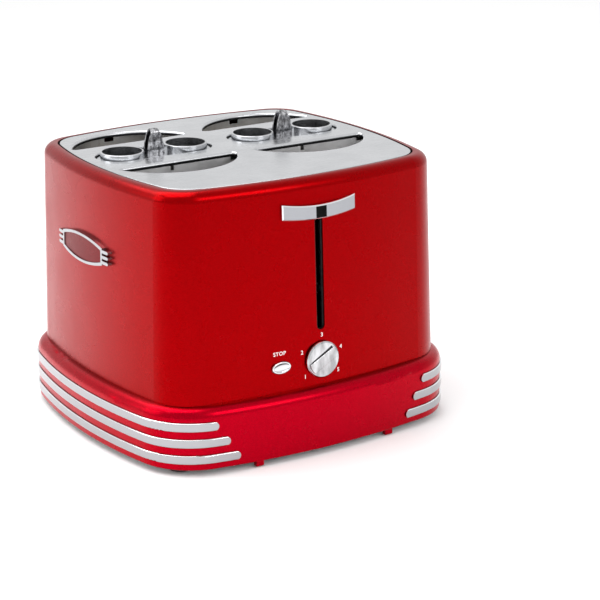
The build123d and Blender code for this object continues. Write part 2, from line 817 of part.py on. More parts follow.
# Heater boards between each bun slot and its basket, each wound with one ribbon
board_inner_x = partition_x + partition_wall
board_outer_x = box_half_width - box_wall
board_centre_x = (board_inner_x + board_outer_x) / 2
board_length = board_outer_x - board_inner_x
ribbon_span = board_length - 2 * ribbon_margin
ribbon_pitch = (heater_top - heater_bottom) / (ribbon_count + 1)
ribbon_levels = [heater_bottom + (turn + 1) * ribbon_pitch for turn in range(ribbon_count)]
for side_name, side in (("left", -1), ("right", 1)):
    for row_name, heater_y in zip(("front", "rear"), heater_ys):
        with BuildPart() as heater_board:
            with BuildSketch(Plane.XZ.offset(-heater_y)):
                with Locations((side * board_centre_x, (heater_top + heater_bottom) / 2)):
                    Rectangle(board_length, heater_top - heater_bottom)
                for level in ribbon_levels:
                    with Locations((side * board_centre_x, level)):
                        with GridLocations(ribbon_span - ribbon_thickness, 0, 2, 1):
                            Rectangle(ribbon_slit, ribbon_height + ribbon_slit, mode=Mode.SUBTRACT)
            extrude(amount=heater_thickness / 2, both=True)
        save(heater_board.part, f"heater_board_{side_name}_{row_name}")
        with BuildPart() as heater_ribbon:
            with BuildSketch(Plane.XZ.offset(-heater_y + heater_thickness / 2)):
                for level in ribbon_levels:
                    with Locations((side * board_centre_x, level)):
                        Rectangle(ribbon_span, ribbon_height)
            extrude(amount=ribbon_thickness)
            with BuildSketch(Plane.XZ.offset(-heater_y + heater_thickness / 2)):
                for level in ribbon_levels:
                    with Locations((side * board_centre_x, level)):
                        with GridLocations(ribbon_span - ribbon_thickness, 0, 2, 1):
                            Rectangle(ribbon_thickness, ribbon_height)
            extrude(amount=-heater_thickness)
            with BuildSketch(Plane.XZ.offset(-heater_y - heater_thickness / 2)):
                for level in ribbon_levels[:-1]:
                    left_x = side * board_centre_x - ribbon_span / 2
                    right_x = left_x + ribbon_span
                    low = level - ribbon_height / 2
                    high = low + ribbon_pitch
                    with BuildLine():
                        Polyline((left_x, low), (right_x, high), (right_x, high + ribbon_height),
                                 (left_x, low + ribbon_height), close=True)
                    make_face()
            extrude(amount=-ribbon_thickness)
        save(heater_ribbon.part, f"heater_ribbon_{side_name}_{row_name}")

# Wire guards that keep the buns off the heaters, hung between two bars
guard_length = board_length - guard_end_inset
guard_centre_x = board_centre_x - guard_end_inset / 2
for row_name, bar_y, facing in zip(("front", "rear"), guard_ys, (-1, 1)):
    with BuildPart() as bun_guards:
        for side in (-1, 1):
            with BuildSketch(Plane.XZ.offset(-bar_y)):
                with Locations((side * guard_centre_x, guard_top - guard_bar_height / 2)):
                    Rectangle(guard_length, guard_bar_height)
                with Locations((side * group_x, (guard_lip_top + guard_top) / 2)):
                    Rectangle(2 * guard_lip_half, guard_lip_top - guard_top)
                with Locations((side * group_x - guard_notch_shift, guard_lip_top - guard_notch_depth / 2)):
                    Rectangle(guard_notch_width, guard_notch_depth, mode=Mode.SUBTRACT)
                with Locations((side * guard_centre_x, guard_bottom + guard_bar_height / 2)):
                    Rectangle(guard_length, guard_bar_height)
            extrude(amount=guard_bar_thickness / 2, both=True)
            wire_y = bar_y - facing * (guard_bar_thickness / 2 + guard_wire_r - guard_weld)
            with BuildSketch(Plane.XY.offset(guard_bottom)):
                with Locations((side * board_centre_x, wire_y)):
                    with GridLocations(guard_wire_pitch, 0, guard_wire_count, 1):
                        Circle(guard_wire_r)
            extrude(amount=guard_top - guard_bottom)
    save(bun_guards.part, f"bun_guards_{row_name}")

# Lift frame on the front of the heat box, with the guide rods and return springs
with BuildPart() as lift_frame:
    with BuildSketch(Plane.XZ.offset(-box_front_y)):
        with Locations((0, (bottom_plate_top + frame_top) / 2)):
            Rectangle(2 * frame_half_width, frame_top - bottom_plate_top)
        with Locations((0, (slot_over_rack + window_low) / 2)):
            Rectangle(2 * frame_window_half, slot_over_rack - window_low, mode=Mode.SUBTRACT)
    extrude(amount=frame_wall)
    for level, front in ((box_bottom, frame_foot_front), (frame_top, frame_top_front)):
        with BuildSketch(Plane.XY.offset(level)):
            with Locations((0, (box_front_y + front) / 2)):
                Rectangle(2 * frame_half_width, box_front_y - front)
        extrude(amount=-frame_wall)
save(lift_frame.part, "lift_frame")

for side_name, side in (("left", -1), ("right", 1)):
    with BuildPart() as guide_rod:
        with BuildSketch(leaning_plane(side * rod_x, rod_y, rack_rest_top)):
            Circle(rod_r)
        extrude(amount=shell_height, both=True)
        with BuildSketch(Plane.XY.offset(box_bottom)):
            with Locations((side * rod_x, rod_y)):
                Rectangle(2 * overrun, 2 * overrun)
        extrude(amount=rod_top - box_bottom, mode=Mode.INTERSECT)
    save(guide_rod.part, f"guide_rod_{side_name}")

for side_name, side in (("left", -1), ("right", 1)):
    with BuildPart() as return_spring:
        with BuildLine() as spring_line:
            coil = Helix(spring_pitch, spring_coil_height, spring_coil_r,
                         center=(side * spring_x, rod_y, ear_top + spring_tail))
            Spline((side * spring_x, rod_y, ear_top), coil @ 0, tangents=[(0, 0, 1), coil % 0])
            Spline(coil @ 1, (side * spring_x, rod_y, rod_top), tangents=[coil % 1, (0, 0, 1)])
        with BuildSketch(Plane(origin=(side * spring_x, rod_y, ear_top), z_dir=(0, 0, 1))):
            Circle(spring_wire_r)
        sweep(is_frenet=True)
    save(return_spring.part, f"return_spring_{side_name}")
    wire_path = spring_line.wires()[0]
    steps = spring_turns * spring_samples
    points = [tuple(wire_path @ (step / steps)) for step in range(steps + 1)]
    half_turn = ceil(pi * spring_coil_r * steps / wire_path.length)
    nearest = min(dist(near, far) for first, near in enumerate(points) for far in points[first + half_turn:])
    print(f"{side_name} return spring: least gap {nearest - 2 * spring_wire_r:.2f} mm")

# Carriage: bracket on the rods, armature, spine, two bun racks and the lever
with BuildPart() as carriage_bracket:
    with BuildSketch(Plane.XZ.offset(-bracket_front)):
        with Locations((0, (bracket_top + spine_bottom) / 2)):
            Rectangle(2 * bracket_half_width, bracket_top - spine_bottom)
        with Locations((0, spine_bottom + ear_thickness / 2)):
            Rectangle(2 * ear_half_width, ear_thickness)
    extrude(amount=-bracket_thickness)
    with BuildSketch(Plane.XY.offset(spine_bottom)):
        with Locations((0, bracket_front - lug_reach / 2)):
            with GridLocations(ear_half_width + bracket_half_width, 0, 2, 1):
                Rectangle(ear_half_width - bracket_half_width, lug_reach)
    extrude(amount=ear_thickness)
    for level in (spine_bottom, bracket_top - lug_thickness):
        with BuildSketch(Plane.XY.offset(level)):
            with Locations((0, bracket_front - lug_reach / 2)):
                with GridLocations(2 * rod_x, 0, 2, 1):
                    Rectangle(lug_width, lug_reach)
        extrude(amount=lug_thickness)
    for side in (-1, 1):
        with BuildSketch(leaning_plane(side * rod_x, rod_y, rack_rest_top)):
            Circle(rod_r + rod_clearance)
        extrude(amount=shell_height, both=True, mode=Mode.SUBTRACT)
save(carriage_bracket.part, "carriage_bracket")

with BuildPart() as armature_plate:
    with BuildSketch(Plane.XY.offset(armature_z)):
        with Locations((0, bracket_front - armature_reach / 2)):
            Rectangle(2 * armature_half_width, armature_reach)
    extrude(amount=armature_thickness)
save(armature_plate.part, "armature_plate")

with BuildPart() as lift_spine:
    with BuildSketch(Plane.YZ.offset(-spine_thickness / 2)):
        spine_front = bracket_front + bracket_thickness
        with Locations(((spine_front + spine_rear) / 2, (rack_bottom + spine_bottom) / 2)):
            Rectangle(spine_rear - spine_front, spine_height)
    extrude(amount=spine_thickness)
save(lift_spine.part, "lift_spine")

for row_name, chord_y, facing in (("front", front_chord_y, -1), ("rear", rear_chord_y, 1)):
    rack_y = chord_y + facing * slot_depth / 2
    with BuildPart() as bun_rack:
        with BuildSketch(Plane.XY.offset(rack_bottom)):
            for x in (-group_x, group_x):
                with Locations((x, chord_y)):
                    add(bun_face(facing, rack_margin, rack_corner_r))
            with Locations((0, rack_y)):
                Rectangle(2 * neck_reach, 2 * neck_half_width)
            with Locations((0, chord_y + facing * (rack_margin + rack_hole_inset + rack_hole_spread / 2))):
                with GridLocations(2 * group_x, 0, 2, 1):
                    with GridLocations(rack_hole_pitch, rack_hole_spread, rack_hole_count, rack_hole_rows):
                        Circle(rack_hole_r, mode=Mode.SUBTRACT)
        extrude(amount=rack_thickness)
    save(bun_rack.part, f"bun_rack_{row_name}")

# Lever: an arm with a block on its end, held in the window of a curved handle
lever_plane = leaning_plane(0, shell_front_y(0, lever_z), lever_z)
lever_front_plane = Plane(origin=lever_plane.origin, x_dir=(1, 0, 0), z_dir=-lever_plane.y_dir)
lever_wall_drop = shell_front_y(lever_half_length, lever_z) - shell_front_y(0, lever_z)
with BuildPart() as lever_handle:
    with BuildSketch(lever_plane):
        with BuildLine():
            half = lever_half_length
            rear = -lever_gap
            front = rear - lever_thickness
            end_rear = rear + lever_wall_drop
            end_front = end_rear - lever_end_thickness
            ThreePointArc((-half, end_rear), (0, rear), (half, end_rear))
            Line((half, end_rear), (half, end_front))
            ThreePointArc((half, end_front), (0, front), (-half, end_front))
            Line((-half, end_front), (-half, end_rear))
        make_face()
    extrude(amount=lever_height + lever_top_sag, both=True)
    with BuildSketch(lever_front_plane):
        with BuildLine():
            middle_top = lever_height / 2
            end_top = middle_top + lever_top_sag
            end_low = lever_sag - middle_top
            ThreePointArc((-half, end_top), (0, middle_top), (half, end_top))
            Line((half, end_top), (half, end_low))
            ThreePointArc((half, end_low), (0, -middle_top), (-half, end_low))
            Line((-half, end_low), (-half, end_top))
        make_face()
    extrude(amount=overrun, both=True, mode=Mode.INTERSECT)
    chamfer(lever_handle.faces().sort_by(Axis.Y)[0].edges(), lever_bevel)
    with BuildSketch(lever_front_plane):
        Rectangle(window_width, lever_height - 2 * window_rail)
    extrude(amount=overrun, both=True, mode=Mode.SUBTRACT)
save(lever_handle.part, "lever_handle")

with BuildPart() as lever_arm:
    with BuildSketch(Plane.XZ.offset(-bracket_front)):
        with Locations((0, lever_z)):
            Rectangle(2 * arm_half_width, arm_height)
    extrude(amount=bracket_front - shell_front_y(0, lever_z) + lever_gap + lever_thickness / 2)
    with BuildSketch(Plane(origin=lever_front_plane.origin + lever_front_plane.z_dir * lever_gap,
                           x_dir=(1, 0, 0), z_dir=lever_front_plane.z_dir)):
        Rectangle(window_width - 2 * head_clearance, lever_height - 2 * window_rail - 2 * head_clearance)
    extrude(amount=lever_thickness - head_recess)
save(lever_arm.part, "lever_arm")

shield_low = slot_bottom - shield_overlap
shield_high = slot_top + shield_overlap
shield_z = (shield_high + shield_low) / 2
with BuildPart() as slot_shield:
    shield_plane = leaning_plane(0, shell_front_y(0, shield_z) + shell_wall + shield_gap, shield_z)
    with BuildSketch(Plane(origin=shield_plane.origin, x_dir=(1, 0, 0), z_dir=shield_plane.y_dir)):
        Rectangle(2 * shield_half_width, shield_high - shield_low)
        SlotOverall(slot_top - slot_bottom, 2 * shield_slot_half, rotation=90, mode=Mode.SUBTRACT)
    extrude(amount=shield_thickness)
save(slot_shield.part, "slot_shield")

# Control board with the hold-down magnet behind it and the controls before it
with BuildPart() as control_board:
    with BuildSketch(Plane.XZ.offset(-board_front)):
        with Locations(((board_left + board_right) / 2, (board_top + box_bottom) / 2)):
            Rectangle(board_right - board_left, board_top - box_bottom)
    extrude(amount=-board_thickness)
save(control_board.part, "control_board")

with BuildPart() as magnet_core:
    with BuildSketch(Plane.XY.offset(magnet_bottom)):
        with Locations((0, board_back + (magnet_standoff + magnet_depth) / 2)):
            Rectangle(2 * magnet_half_width, magnet_standoff + magnet_depth)
    extrude(amount=magnet_yoke)
    with BuildSketch(Plane.XY.offset(magnet_bottom)):
        with Locations((0, magnet_y)):
            with GridLocations(2 * magnet_half_width - magnet_leg, 0, 2, 1):
                Rectangle(magnet_leg, magnet_depth)
    extrude(amount=magnet_height)
save(magnet_core.part, "magnet_core")

with BuildPart() as magnet_coil:
    with BuildSketch(Plane.XY.offset(magnet_bottom + magnet_yoke + coil_lift)):
        with Locations((0, magnet_y)):
            with GridLocations(2 * magnet_half_width - magnet_leg, 0, 2, 1):
                coil_inner = magnet_leg + 2 * coil_clearance
                coil_inner_depth = magnet_depth + 2 * coil_clearance
                RectangleRounded(coil_inner + 2 * coil_wall, coil_inner_depth + 2 * coil_wall, coil_wall)
                Rectangle(coil_inner, coil_inner_depth, mode=Mode.SUBTRACT)
    extrude(amount=coil_height)
save(magnet_coil.part, "magnet_coil")

control_front = board_front - control_depth
knob_back = shell_front_y(0, dial_z) - knob_gap
with BuildPart() as dial_control:
    with BuildSketch(Plane.XZ.offset(-board_front)):
        with Locations((0, dial_z)):
            Rectangle(control_size, control_size)
    extrude(amount=control_depth)
    with BuildSketch(Plane.XZ.offset(-control_front)):
        with Locations((0, dial_z)):
            Circle(dial_shaft_r + dial_running)
    extrude(amount=control_skin - control_depth, mode=Mode.SUBTRACT)
save(dial_control.part, "dial_control")

with BuildPart() as dial_shaft:
    with BuildSketch(Plane.XZ.offset(-control_front - dial_running)):
        with Locations((0, dial_z)):
            Circle(dial_shaft_r)
    extrude(amount=control_skin + dial_running - control_depth, mode=Mode.ADD)
    with BuildSketch(Plane.XZ.offset(-control_front - dial_running)):
        with Locations((0, dial_z)):
            Circle(dial_shaft_r)
    extrude(amount=control_front + dial_running - knob_back + knob_bore)
save(dial_shaft.part, "dial_shaft")

with BuildPart() as dial_knob:
    with BuildSketch(Plane.XZ.offset(-knob_back)):
        with Locations((0, dial_z)):
            Circle(knob_r)
    extrude(amount=knob_depth)
    chamfer(dial_knob.faces().sort_by(Axis.Y)[0].edges(), knob_bevel, knob_bevel)
    # Grip bar across the face, its ends cut to the round
    with BuildSketch(Plane.XZ.offset(-knob_back)):
        with Locations((0, dial_z)):
            Rectangle(2 * knob_grip_reach, 2 * grip_half_width, rotation=dial_rest_angle)
            Circle(knob_grip_reach, mode=Mode.INTERSECT)
    extrude(amount=knob_depth + grip_rise)
    fillet(dial_knob.faces().sort_by(Axis.Y)[0].edges(), grip_round)
    # Pointer groove beside the grip, widest at the end that points at the scale
    with BuildSketch(Plane.XZ.offset(knob_depth - knob_back)):
        with Locations(Location((0, dial_z), dial_rest_angle)):
            with Locations((0, grip_half_width)):
                Polygon((-pointer_foot, 0), (pointer_tip, 0), (pointer_tip, pointer_tip_width),
                        (-pointer_foot, pointer_foot_width), align=None)
    extrude(amount=-pointer_depth, mode=Mode.SUBTRACT)
    with BuildSketch(Plane.XZ.offset(-knob_back)):
        with Locations((0, dial_z)):
            Circle(dial_shaft_r + shaft_fit)
    extrude(amount=knob_bore + shaft_fit, mode=Mode.SUBTRACT)
save(dial_knob.part, "dial_knob")

button_front = shell_front_y(button_x, button_z) - button_stand_out
flange_edge_x = button_x - button_half_width - button_flange
flange_front = shell_front_y(flange_edge_x, button_z) + shell_wall + button_flange_gap
stem_end = board_front - switch_depth - button_travel - switch_gap
dish_half_width = button_half_width - button_dish_rim
dish_half_height = button_half_height - button_dish_rim
dish_shares = (1, button_dish_depth / dish_half_width, dish_half_height / dish_half_width)
button_dish = Pos(button_x, button_front, button_z) * scale(Sphere(dish_half_width), by=dish_shares)
with BuildPart() as stop_button:
    with BuildSketch(Plane.XZ.offset(-flange_front)):
        with Locations((button_x, button_z)):
            Ellipse(button_half_width, button_half_height)
    extrude(amount=flange_front - button_front)
    fillet(stop_button.faces().sort_by(Axis.Y)[0].edges(), button_edge_round)
    add(button_dish, mode=Mode.SUBTRACT)
    with BuildSketch(Plane.XZ.offset(-flange_front)):
        with Locations((button_x, button_z)):
            Ellipse(button_half_width + button_flange, button_half_height + button_flange)
    extrude(amount=-button_flange_thickness)
    with BuildSketch(Plane.XZ.offset(-flange_front)):
        with Locations((button_x, button_z)):
            Circle(button_stem_r)
    extrude(amount=flange_front - stem_end)
save(stop_button.part, "stop_button")

with BuildPart() as stop_switch:
    with BuildSketch(Plane.XZ.offset(-board_front)):
        with Locations((button_x, button_z)):
            Rectangle(switch_size, switch_size)
    extrude(amount=switch_body_depth)
    with BuildSketch(Plane.XZ.offset(-board_front)):
        with Locations((button_x, button_z)):
            Circle(button_stem_r)
    extrude(amount=switch_depth)
save(stop_switch.part, "stop_switch")

cage_half = mouth_half_length - mouth_ledge - cage_gap
cage_half_width = mouth_half_width - mouth_ledge - cage_gap
cage_fold = radians(180 / cage_end_folds)


def cage_face(inset):
    """The plan of a cage: two long flat sides, and ends folded round in flats."""
    straight = cage_half - cage_half_width
    radius = cage_half_width - inset / cos(cage_fold / 2)
    corners = [
        (end * (straight + radius * sin(step * cage_fold)), end * radius * cos(step * cage_fold))
        for end in (1, -1) for step in range(cage_end_folds + 1)
    ]
    with BuildSketch(Plane.XY, mode=Mode.PRIVATE) as outline:
        Polygon(*corners, align=None)
    return outline.sketch


# Two baskets, each a cap, a cage for two hot dogs and a handle
for side_name, side in (("left", -1), ("right", 1)):
    middle_x = side * group_x
    with BuildPart() as basket_cap:
        with BuildSketch(Plane.XY.offset(cap_bottom)):
            with Locations((middle_x, group_y)):
                SlotOverall(2 * (mouth_half_length - cap_gap), 2 * (mouth_half_width - cap_gap))
        extrude(amount=cap_thickness)
        with BuildSketch(Plane.XY.offset(cap_bottom)):
            with Locations((middle_x, group_y)):
                with GridLocations(2 * dog_spread, 0, 2, 1):
                    Circle(dog_hole_r + collar_wall)
        extrude(amount=collar_top - cap_bottom)
        fillet(basket_cap.faces().group_by(Axis.Z)[-1].edges(), collar_round)
        with BuildSketch(Plane.XY.offset(cap_bottom)):
            with Locations((middle_x, group_y)):
                with GridLocations(2 * dog_spread, 0, 2, 1):
                    Circle(dog_hole_r)
        extrude(amount=collar_top - cap_bottom, mode=Mode.SUBTRACT)
    save(basket_cap.part, f"basket_cap_{side_name}")
    with BuildPart() as basket_cage:
        with BuildSketch(Plane.XY.offset(cage_bottom)):
            with Locations((middle_x, group_y)):
                add(cage_face(0))
        extrude(amount=cage_depth)
        with BuildSketch(Plane.XY.offset(cage_bottom + cage_wall)):
            with Locations((middle_x, group_y)):
                add(cage_face(cage_wall))
                Rectangle(cage_wall, 2 * cage_half_width, mode=Mode.SUBTRACT)
        extrude(amount=cage_depth, mode=Mode.SUBTRACT)
        with BuildSketch(Plane.XY.offset(cage_bottom)):
            with Locations((middle_x, group_y)):
                with GridLocations(2 * dog_spread, 0, 2, 1):
                    Circle(cage_floor_hole_r)
        extrude(amount=cage_wall, mode=Mode.SUBTRACT)
        with BuildSketch(Plane.XZ.offset(-group_y)):
            with Locations((middle_x, cage_bottom + cage_depth / 2)):
                with GridLocations(2 * cage_window_x, cage_window_pitch_z, 2, cage_window_rows):
                    with GridLocations(cage_window_pitch_x, 0, cage_window_columns, 1):
                        Rectangle(cage_window_width, cage_window_height)
        extrude(amount=cage_half_width + overrun, both=True, mode=Mode.SUBTRACT)
    save(basket_cage.part, f"basket_cage_{side_name}")
    with BuildPart() as basket_handle:
        with BuildSketch(Plane.YZ.offset(middle_x)):
            with Locations((group_y, cap_top)):
                for loop_half, blend in ((handle_half_span, Mode.ADD),
                                         (handle_half_span - handle_thickness, Mode.SUBTRACT)):
                    straight = handle_height - handle_half_span
                    with Locations((0, straight / 2)):
                        Rectangle(2 * loop_half, straight, mode=blend)
                    with Locations((0, straight)):
                        Circle(loop_half, mode=blend)
        extrude(amount=handle_foot_width, both=True)
        with BuildSketch(Plane(origin=(middle_x, group_y, cap_top), x_dir=(1, 0, 0), z_dir=(0, -1, 0))):
            foot = handle_foot_width / 2
            belly = (handle_belly_width / 2, handle_height / 2)
            crown = handle_crown_width / 2
            with BuildLine():
                Line((-foot, 0), (foot, 0))
                ThreePointArc((foot, 0), belly, (crown, handle_height))
                Line((crown, handle_height), (-crown, handle_height))
                ThreePointArc((-crown, handle_height), (-belly[0], belly[1]), (-foot, 0))
            make_face()
            fillet(vertices().group_by(Axis.Y)[-1], handle_crown_round)
        extrude(amount=2 * handle_half_span, both=True, mode=Mode.INTERSECT)
    save(basket_handle.part, f"basket_handle_{side_name}")

# Crumb tray under the heat box, drawn out at the back
with BuildPart() as crumb_tray:
    tray_z = bottom_plate_top + tray_lift
    with BuildSketch(Plane.XY.offset(tray_z)):
        with Locations((0, tray_front + base_half_depth)):
            Rectangle(2 * tray_half_width, 2 * base_half_depth)
        add(inset_face(base_sizes, -tray_lip_gap), mode=Mode.INTERSECT)
    extrude(amount=tray_height)
    with BuildSketch(Plane.XY.offset(tray_z + tray_wall)):
        with Locations((0, tray_front + tray_wall + base_half_depth)):
            Rectangle(2 * (tray_half_width - tray_wall), 2 * base_half_depth)
        add(inset_face(base_sizes, base_wall), mode=Mode.INTERSECT)
    extrude(amount=tray_height, mode=Mode.SUBTRACT)
    # Lip that follows the back of the skirt and covers the slot
    with BuildSketch(Plane.XY.offset(tray_lip_z)):
        add(inset_face(base_sizes, -tray_lip_gap - tray_lip_thickness))
        add(inset_face(base_sizes, -tray_lip_gap), mode=Mode.SUBTRACT)
        with Locations((0, base_half_depth)):
            Rectangle(2 * (tray_half_width + tray_lip_overlap), 2 * overrun, mode=Mode.INTERSECT)
    extrude(amount=tray_lip_height)
    with BuildSketch(Plane.XY.offset(tray_lip_z + tray_lip_height)):
        grip_root = base_half_depth + tray_lip_gap + tray_lip_thickness / 2
        with Locations((0, (overall_reach + grip_root) / 2)):
            Rectangle(2 * tray_grip_half_width, overall_reach - grip_root)
    extrude(amount=-tray_grip_thickness)
save(crumb_tray.part, "crumb_tray")

# Cord gland in the back and the terminal block inside
with BuildPart() as cord_gland:
    with BuildSketch(Plane.XZ.offset(-base_half_depth)):
        with Locations((0, gland_z)):
            Circle(gland_flange_r)
    extrude(amount=-gland_flange)
    fillet(cord_gland.faces().sort_by(Axis.Y)[-1].edges(), gland_round)
    with BuildSketch(Plane.XZ.offset(-base_half_depth)):
        with Locations((0, gland_z)):
            Circle(gland_hole_r - gland_fit)
    extrude(amount=base_wall + gland_inside)
    with BuildSketch(Plane.XZ.offset(-base_half_depth)):
        with Locations((0, gland_z)):
            Circle(gland_bore_r)
    extrude(amount=overrun, both=True, mode=Mode.SUBTRACT)
save(cord_gland.part, "cord_gland")

with BuildPart() as terminal_block:
    with BuildSketch(Plane.XY.offset(bottom_plate_top)):
        with Locations((terminal_x, terminal_y)):
            Rectangle(terminal_size_x, terminal_size_y)
    extrude(amount=terminal_height)
    with BuildSketch(Plane.YZ.offset(terminal_x)):
        with Locations((terminal_y, bottom_plate_top + terminal_height / 2)):
            with GridLocations(terminal_pitch, 0, terminal_wires, 1):
                Circle(terminal_wire_r)
    extrude(amount=terminal_size_x, both=True, mode=Mode.SUBTRACT)
save(terminal_block.part, "terminal_block")
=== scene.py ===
import json

import bmesh
import bpy
from math import cos, radians, sin
from mathutils import Matrix, Vector
from mathutils.bvhtree import BVHTree


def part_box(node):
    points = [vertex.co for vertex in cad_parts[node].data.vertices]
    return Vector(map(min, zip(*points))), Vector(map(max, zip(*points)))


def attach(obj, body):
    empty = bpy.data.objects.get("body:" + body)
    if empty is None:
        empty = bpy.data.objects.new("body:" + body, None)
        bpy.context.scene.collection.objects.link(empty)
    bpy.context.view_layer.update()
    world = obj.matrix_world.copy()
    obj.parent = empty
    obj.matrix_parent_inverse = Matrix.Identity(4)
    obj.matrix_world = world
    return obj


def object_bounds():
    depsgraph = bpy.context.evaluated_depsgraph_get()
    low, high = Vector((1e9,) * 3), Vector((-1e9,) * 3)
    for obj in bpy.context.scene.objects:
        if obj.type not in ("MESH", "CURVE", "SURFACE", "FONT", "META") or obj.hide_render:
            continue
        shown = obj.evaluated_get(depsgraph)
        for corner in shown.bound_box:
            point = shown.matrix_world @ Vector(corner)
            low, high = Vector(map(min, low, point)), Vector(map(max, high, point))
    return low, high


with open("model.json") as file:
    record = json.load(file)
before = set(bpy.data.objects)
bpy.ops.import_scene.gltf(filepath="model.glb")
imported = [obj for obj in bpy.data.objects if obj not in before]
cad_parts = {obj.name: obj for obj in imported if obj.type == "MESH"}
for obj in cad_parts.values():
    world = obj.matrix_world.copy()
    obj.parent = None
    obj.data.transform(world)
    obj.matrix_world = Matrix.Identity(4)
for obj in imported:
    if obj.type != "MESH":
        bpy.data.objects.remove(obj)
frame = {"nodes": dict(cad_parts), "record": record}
cad_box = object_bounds()
nodes = frame["nodes"]
slots = {part["node"]: part["material_slot"] for part in frame["record"]["subparts"]}

MM = 0.001
FRONT = Vector((0, -1, 0))
UP = Vector((0, 0, 1))

# Building blocks of the materials. Patterns have their sizes and depths in millimetres.
EVEN = (1, 1, 1)
ALONG_X = (0.03, 1, 1)
ALONG_Z = (1, 1, 0.03)
NOISE_LOW, NOISE_HIGH = 0.3, 0.7  # most values of a noise lie between these
TINT_START, TINT_STOP = 0.35, 0.65
MIX_LOW, MIX_HIGH, MIX_RESULT = 6, 7, 2  # the colour sockets of a Mix node


def shader_input(mat, socket):
    """One input of the material's Principled shader."""
    return mat.node_tree.nodes["Principled BSDF"].inputs[socket]


def shader(name, color, metallic, roughness, **sockets):
    """A material with one Principled shader, its constant values set on the shader itself."""
    mat = bpy.data.materials.new(name)
    mat.use_nodes = True
    shader_input(mat, "Base Color").default_value = (*color, 1)
    shader_input(mat, "Metallic").default_value = metallic
    shader_input(mat, "Roughness").default_value = roughness
    for socket, value in sockets.items():
        shader_input(mat, socket.replace("_", " ")).default_value = value
    return mat


def add_node(mat, kind, **inputs):
    """A new node with some of its inputs set by name."""
    node = mat.node_tree.nodes.new(kind)
    for socket, value in inputs.items():
        node.inputs[socket.replace("_", " ")].default_value = value
    return node


def link(mat, source, target):
    """Join a node's output to another node's input."""
    mat.node_tree.links.new(source, target)


def pattern(mat, size_mm, stretch=EVEN, detail=4, cells=False):
    """A noise or cell pattern, its features about size_mm across and squeezed by stretch."""
    place = add_node(mat, "ShaderNodeTexCoord")
    squeeze = add_node(mat, "ShaderNodeMapping", Scale=[share / MM for share in stretch])
    if cells:
        texture = add_node(mat, "ShaderNodeTexVoronoi", Scale=1 / size_mm)
    else:
        texture = add_node(mat, "ShaderNodeTexNoise", Scale=1 / size_mm, Detail=detail)
    link(mat, place.outputs["Object"], squeeze.inputs["Vector"])
    link(mat, squeeze.outputs["Vector"], texture.inputs["Vector"])
    return texture.outputs["Color" if cells else "Fac"]


def spread(mat, source, low, high, socket):
    """Drive a shader socket from low to high with a pattern."""
    span = add_node(mat, "ShaderNodeMapRange", From_Min=NOISE_LOW, From_Max=NOISE_HIGH,
                    To_Min=low, To_Max=high)
    link(mat, source, span.inputs["Value"])
    link(mat, span.outputs["Result"], shader_input(mat, socket))


def blend(mat, source, first, second, start, stop):
    """Take the base colour from first to second as source rises from start to stop."""
    ramp = add_node(mat, "ShaderNodeValToRGB")
    low, high = ramp.color_ramp.elements
    low.position, high.position = start, stop
    low.color, high.color = (*first, 1), (*second, 1)
    link(mat, source, ramp.inputs["Fac"])
    link(mat, ramp.outputs["Color"], shader_input(mat, "Base Color"))


def tint(mat, source, first, second):
    """Blend the base colour between two colours with a pattern."""
    blend(mat, source, first, second, TINT_START, TINT_STOP)


def painted_light_by_facing(mat, direction, away, towards, start, stop):
    """Blend the base colour by how far the surface turns towards one direction of its own:
    painted highlight and painted shade by facing.
    """
    place = add_node(mat, "ShaderNodeTexCoord")
    aim = add_node(mat, "ShaderNodeVectorMath")
    aim.operation = "DOT_PRODUCT"
    surface_side, wanted_side = aim.inputs[:2]
    wanted_side.default_value = Vector(direction).normalized()
    link(mat, place.outputs["Normal"], surface_side)
    blend(mat, aim.outputs["Value"], away, towards, start, stop)
    return mat


def painted_shade_below(mat, level, below, blend_mm):
    """Darken the base colour under one height, keeping the tone above it: painted shade deeper in
    the slots.
    """
    base = shader_input(mat, "Base Color")
    above = base.links[0].from_socket
    place = add_node(mat, "ShaderNodeTexCoord")
    split = add_node(mat, "ShaderNodeSeparateXYZ")
    span = add_node(mat, "ShaderNodeMapRange", From_Min=level - blend_mm * MM, From_Max=level)
    mix = add_node(mat, "ShaderNodeMix")
    mix.data_type = "RGBA"
    mix.inputs[MIX_LOW].default_value = (*below, 1)
    link(mat, place.outputs["Object"], split.inputs["Vector"])
    link(mat, split.outputs["Z"], span.inputs["Value"])
    link(mat, span.outputs["Result"], mix.inputs["Factor"])
    link(mat, above, mix.inputs[MIX_HIGH])
    link(mat, mix.outputs[MIX_RESULT], base)


def relief(mat, source, height_mm, strength, socket="Normal"):
    """Raise or sink the surface by a pattern, through the shader's normal."""
    bump = add_node(mat, "ShaderNodeBump", Strength=strength, Distance=height_mm * MM)
    link(mat, source, bump.inputs["Height"])
    link(mat, bump.outputs["Normal"], shader_input(mat, socket))


# Kinds of finish
def candy_paint(name, color, deep, flake_mm=0.5, tilt_mm=0.3, cloud_mm=30, peel_mm=5):
    """Metallic lacquer: fine flakes under a thin clear coat with a little orange peel."""
    mat = shader(name, color, metallic=1.0, roughness=0.3,
                 Coat_Weight=0.02, Coat_Roughness=0.04, Coat_IOR=1.5)
    tint(mat, pattern(mat, flake_mm, cells=True), deep, color)
    spread(mat, pattern(mat, cloud_mm), low=0.24, high=0.32, socket="Roughness")
    relief(mat, pattern(mat, tilt_mm, cells=True), height_mm=0.001, strength=0.12)
    relief(mat, pattern(mat, peel_mm, detail=1), height_mm=0.004, strength=0.5,
           socket="Coat Normal")
    return mat


